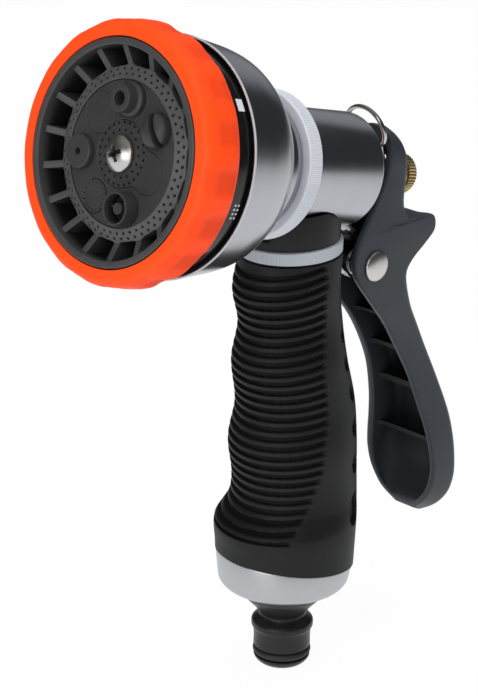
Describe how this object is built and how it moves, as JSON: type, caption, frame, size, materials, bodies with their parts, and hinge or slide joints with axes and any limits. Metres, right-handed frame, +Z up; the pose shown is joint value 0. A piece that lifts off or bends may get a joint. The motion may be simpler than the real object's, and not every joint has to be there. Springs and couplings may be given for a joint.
{
  "type": "hose spray nozzle",
  "caption": "Pistol-grip garden hose spray nozzle with a turning multi-pattern spray dial, a rear squeeze trigger, a hold-open clip and a quick-connect hose tail.",
  "frame": {"origin": "centre of the hose inlet's end face, on the grip's axis", "axes": "+Z up along the grip, -Y towards the spray, +X to the right of someone who looks along +Y; X = 0 is the middle plane"},
  "size_m": [0.0662, 0.132, 0.1939],
  "materials": {
    "satin_chrome": "satin chrome plating",
    "ferrule_chrome": "satin chrome plating",
    "brass": "turned and knurled",
    "steel": "bright",
    "white_trim": "finely knurled",
    "dial_black": "moulded",
    "orange_rubber": "soft, fine grain",
    "grip_rubber": "ribbed",
    "trigger_grey": "moulded",
    "connector_black": "moulded",
    "natural_acetal": "moulded",
    "seal_rubber": "smooth"
  },
  "bodies": {
    "nozzle": {"body_casting": "satin_chrome", "bell_housing": "satin_chrome", "neck_ring": "white_trim", "grip_trim_ring": "white_trim", "handle_collar": "dial_black", "grip_sleeve": "grip_rubber", "end_ferrule": "ferrule_chrome", "hose_connector": "connector_black", "connector_o_ring": "seal_rubber", "inlet_washer": "seal_rubber", "inlet_filter": "natural_acetal", "valve_seat": "natural_acetal", "valve_spring": "steel", "gland_nut": "brass", "gland_o_ring": "seal_rubber", "stator": "natural_acetal", "port_seal": "seal_rubber", "seal_spring": "steel", "detent_ball": "steel", "detent_spring": "steel", "dial_screw": "steel", "trigger_pin": "steel"},
    "dial": {"dial_body": "dial_black", "port_plate": "natural_acetal", "dial_grip_ring": "orange_rubber", "face_plate": "dial_black", "jet_insert": "dial_black", "fan_insert": "dial_black", "mist_insert": "dial_black", "cone_insert": "dial_black", "soak_insert": "dial_black"},
    "stem": {"valve_stem": "brass", "valve_plug": "seal_rubber"},
    "nut": {"adjusting_nut": "brass"},
    "trigger": {"trigger": "trigger_grey"},
    "clip": {"lock_clip": "steel"}
  },
  "joints": [
    {"name": "trigger_pivot", "type": "hinge", "parent": "nozzle", "child": "trigger", "pos_m": [0, 0.02503, 0.11456], "axis": [-1, 0, 0], "range_deg": [0, 16], "stiffness_Nm_per_rad": 0.45, "springref_deg": -9.55},
    {"name": "stem_slide", "type": "slide", "parent": "nozzle", "child": "stem", "axis": [0, 0.9692, -0.2462], "range_m": [0, 0.0084], "deforming": ["valve_spring"]},
    {"name": "nut_turn", "type": "hinge", "parent": "stem", "child": "nut", "pos_m": [0, 0.04138, 0.13589], "axis": [0, 0.9692, -0.2462], "range_deg": [-180, 180]},
    {"name": "dial_turn", "type": "hinge", "parent": "nozzle", "child": "dial", "pos_m": [0, 0, 0.1464], "axis": [0, -0.9692, 0.2462], "continuous": true},
    {"name": "clip_swing", "type": "hinge", "parent": "trigger", "child": "clip", "pos_m": [0, 0.03078, 0.13961], "axis": [1, 0, 0], "range_deg": [-4, 9]}
  ],
  "couplings": [
    {"joint": "stem_slide", "follows": "trigger_pivot", "m_per_rad": 0.03}
  ]
}
